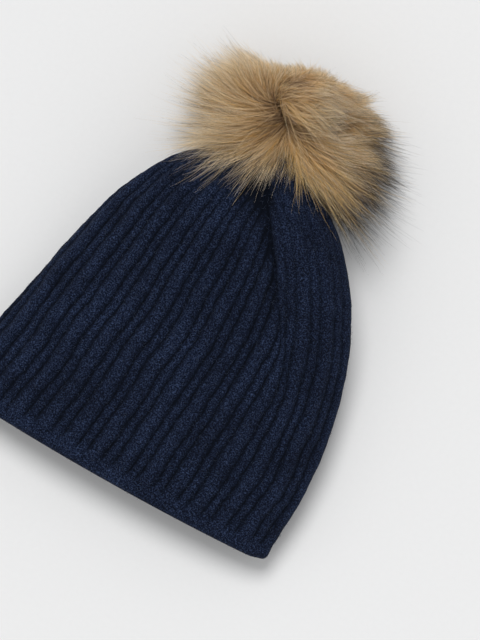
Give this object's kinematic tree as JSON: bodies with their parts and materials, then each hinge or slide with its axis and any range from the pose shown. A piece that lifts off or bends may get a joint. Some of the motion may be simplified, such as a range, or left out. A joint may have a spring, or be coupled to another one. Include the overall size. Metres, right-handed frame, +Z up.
{
  "type": "pom pom beanie",
  "caption": "Ribbed knitted beanie lying flat, with a large detachable fur pom on its crown, a plain welt, side seams, darts and a mouth that opens.",
  "frame": {"origin": "on the shelf under the middle of the whole hat, pom included, as it lies flat on its back", "axes": "+Y from the hem to the pom along the hat, +Z up from the shelf, +X across the hat"},
  "size_m": [0.222, 0.277, 0.094],
  "materials": {
    "ribbed_knit": "matte",
    "welt_knit": "matte",
    "seam_yarn": "matte",
    "patch_felt": "matte",
    "label_tape": "satin",
    "snap_brass": "satin",
    "tether_elastic": "matte",
    "disc_plastic": "matte",
    "stuffing_fibre": "matte",
    "hide_leather": "matte",
    "hide_thread": "matte",
    "raccoon_fur": "satin"
  },
  "bodies": {
    "hat_back": {"back_panel": "ribbed_knit", "back_hem": "welt_knit", "back_dart_seam": "seam_yarn", "left_side_seam": "seam_yarn", "right_side_seam": "seam_yarn", "crown": "ribbed_knit", "crown_gathering_yarn": "seam_yarn", "crown_patch": "patch_felt", "snap_stud": "snap_brass", "stud_backing": "snap_brass", "care_label": "label_tape"},
    "hat_front": {"front_panel": "ribbed_knit", "front_hem": "welt_knit", "front_dart_seam": "seam_yarn"},
    "snap_spring": {"socket_spring": "snap_brass"},
    "snap_half": {"snap_socket": "snap_brass", "socket_cap": "snap_brass", "tether_bar": "snap_brass"},
    "tether": {"elastic_tether": "tether_elastic"},
    "pom": {"base_disc": "disc_plastic", "anchor_bar": "snap_brass", "pom_stuffing": "stuffing_fibre", "fur_hide": "hide_leather", "hide_gathering_thread": "hide_thread", "fur_coat": "raccoon_fur"}
  },
  "joints": [
    {"name": "mouth_open", "type": "hinge", "parent": "hat_back", "child": "hat_front", "pos_m": [0, 0.06052, 0.0633], "axis": [-1, 0, 0], "range_deg": [0, 25]},
    {"name": "pom_pull_off", "type": "slide", "parent": "hat_back", "child": "snap_spring", "axis": [0, 1, 0], "range_m": [0, 0.06]},
    {"name": "pom_spin", "type": "hinge", "parent": "snap_spring", "child": "snap_half", "pos_m": [0, 0.08095, 0.046], "axis": [0, 1, 0], "continuous": true},
    {"name": "pom_nod", "type": "hinge", "parent": "snap_half", "child": "tether", "pos_m": [0, 0.08641, 0.046], "axis": [1, 0, 0], "range_deg": [-18, 18], "stiffness_Nm_per_rad": 0.03},
    {"name": "pom_wag", "type": "hinge", "parent": "tether", "child": "pom", "pos_m": [0, 0.09241, 0.046], "axis": [0, 0, 1], "range_deg": [-18, 18], "stiffness_Nm_per_rad": 0.03}
  ]
}
